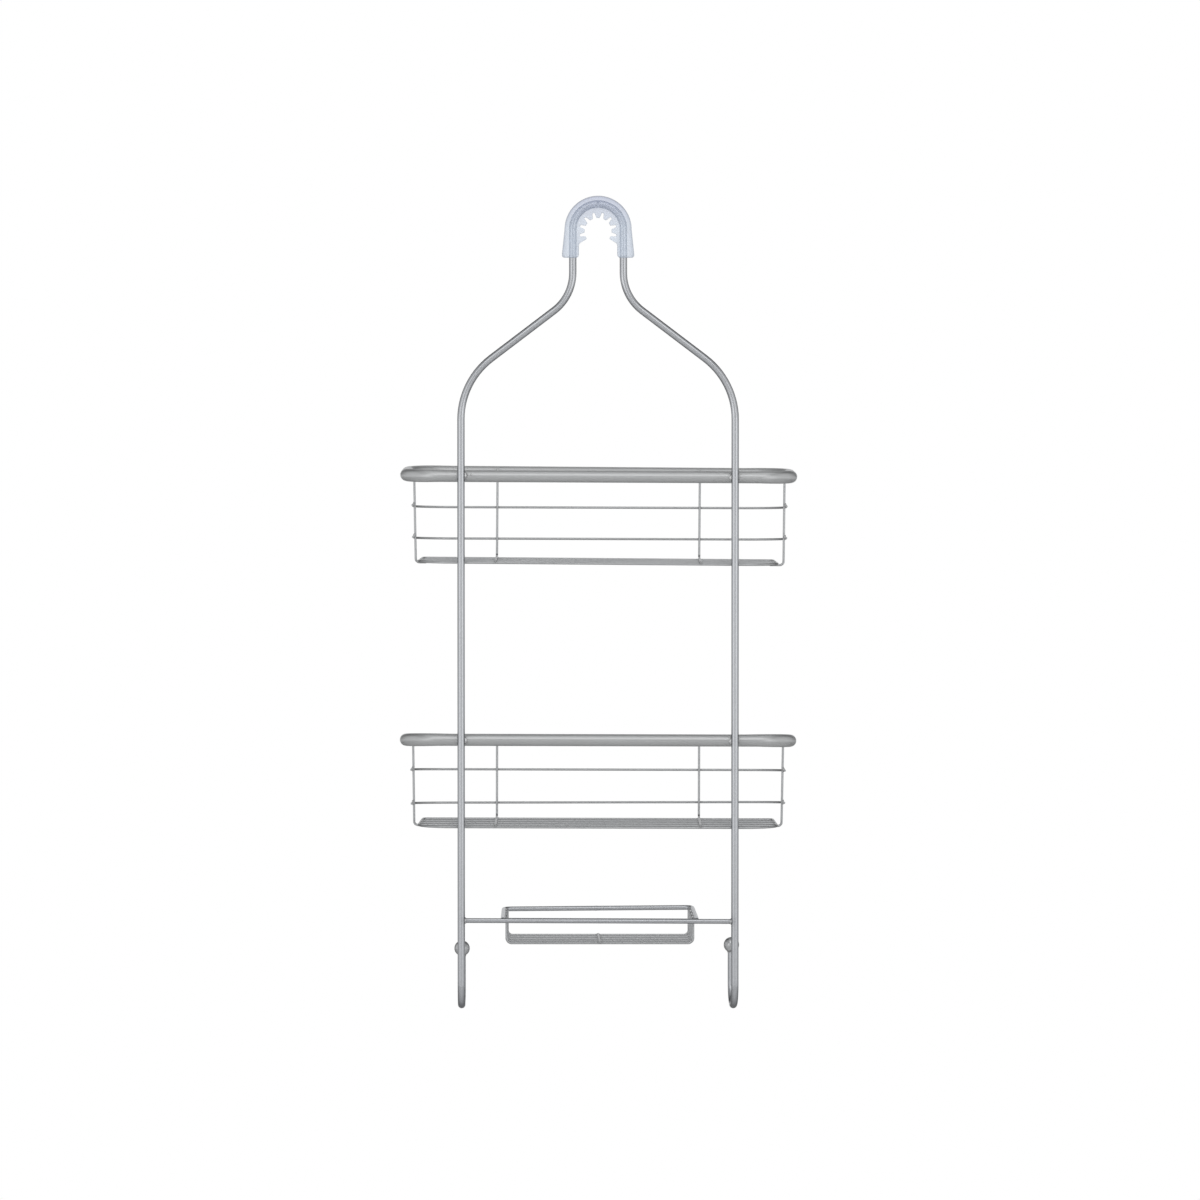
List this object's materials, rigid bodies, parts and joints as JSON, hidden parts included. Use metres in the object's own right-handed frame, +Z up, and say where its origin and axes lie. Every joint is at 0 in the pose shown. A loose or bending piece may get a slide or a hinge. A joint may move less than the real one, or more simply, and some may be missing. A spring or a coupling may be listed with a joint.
{
  "type": "shower caddy",
  "caption": "Rod-frame shower caddy with wire baskets, a soap dish and hooks, hung on a shower arm by a toothed soft grip.",
  "frame": {"origin": "the point of the shower arm's axis in the plane of the frame rod", "axes": "+Z up, +X to the right seen from the wall side, +Y from the wall into the room; the baskets, soap dish and hooks lie on the +Y side of the frame"},
  "size_m": [0.3129, 0.1307, 0.6384],
  "materials": {
    "rod_metal": "satin grey powder coat",
    "rim_metal": "satin grey powder coat",
    "ball_metal": "satin grey powder coat",
    "wire_metal": "satin grey powder coat",
    "soft_grip": "pale translucent silicone"
  },
  "bodies": {
    "root": {"frame_rod": "rod_metal", "hook_ball_left": "ball_metal", "hook_ball_right": "ball_metal", "arm_grip": "soft_grip", "upper_rim": "rim_metal", "upper_ring_high": "wire_metal", "upper_ring_low": "wire_metal", "upper_base_loop": "wire_metal", "upper_front_wire_left": "wire_metal", "upper_front_wire_right": "wire_metal", "upper_end_wire_left": "wire_metal", "upper_end_wire_right": "wire_metal", "upper_rack_wire_1": "wire_metal", "upper_rack_wire_2": "wire_metal", "upper_rack_wire_3": "wire_metal", "lower_rim": "rim_metal", "lower_ring_high": "wire_metal", "lower_ring_low": "wire_metal", "lower_base_loop": "wire_metal", "lower_front_wire_left": "wire_metal", "lower_front_wire_right": "wire_metal", "lower_end_wire_left": "wire_metal", "lower_end_wire_right": "wire_metal", "lower_rack_wire_1": "wire_metal", "lower_rack_wire_2": "wire_metal", "lower_rack_wire_3": "wire_metal", "soap_bar": "rod_metal", "soap_rail": "rod_metal", "soap_cross_wire": "wire_metal", "soap_cradle_wire_1": "wire_metal", "soap_cradle_wire_2": "wire_metal", "soap_cradle_wire_3": "wire_metal", "soap_cradle_wire_4": "wire_metal", "soap_cradle_wire_5": "wire_metal"}
  },
  "joints": []
}
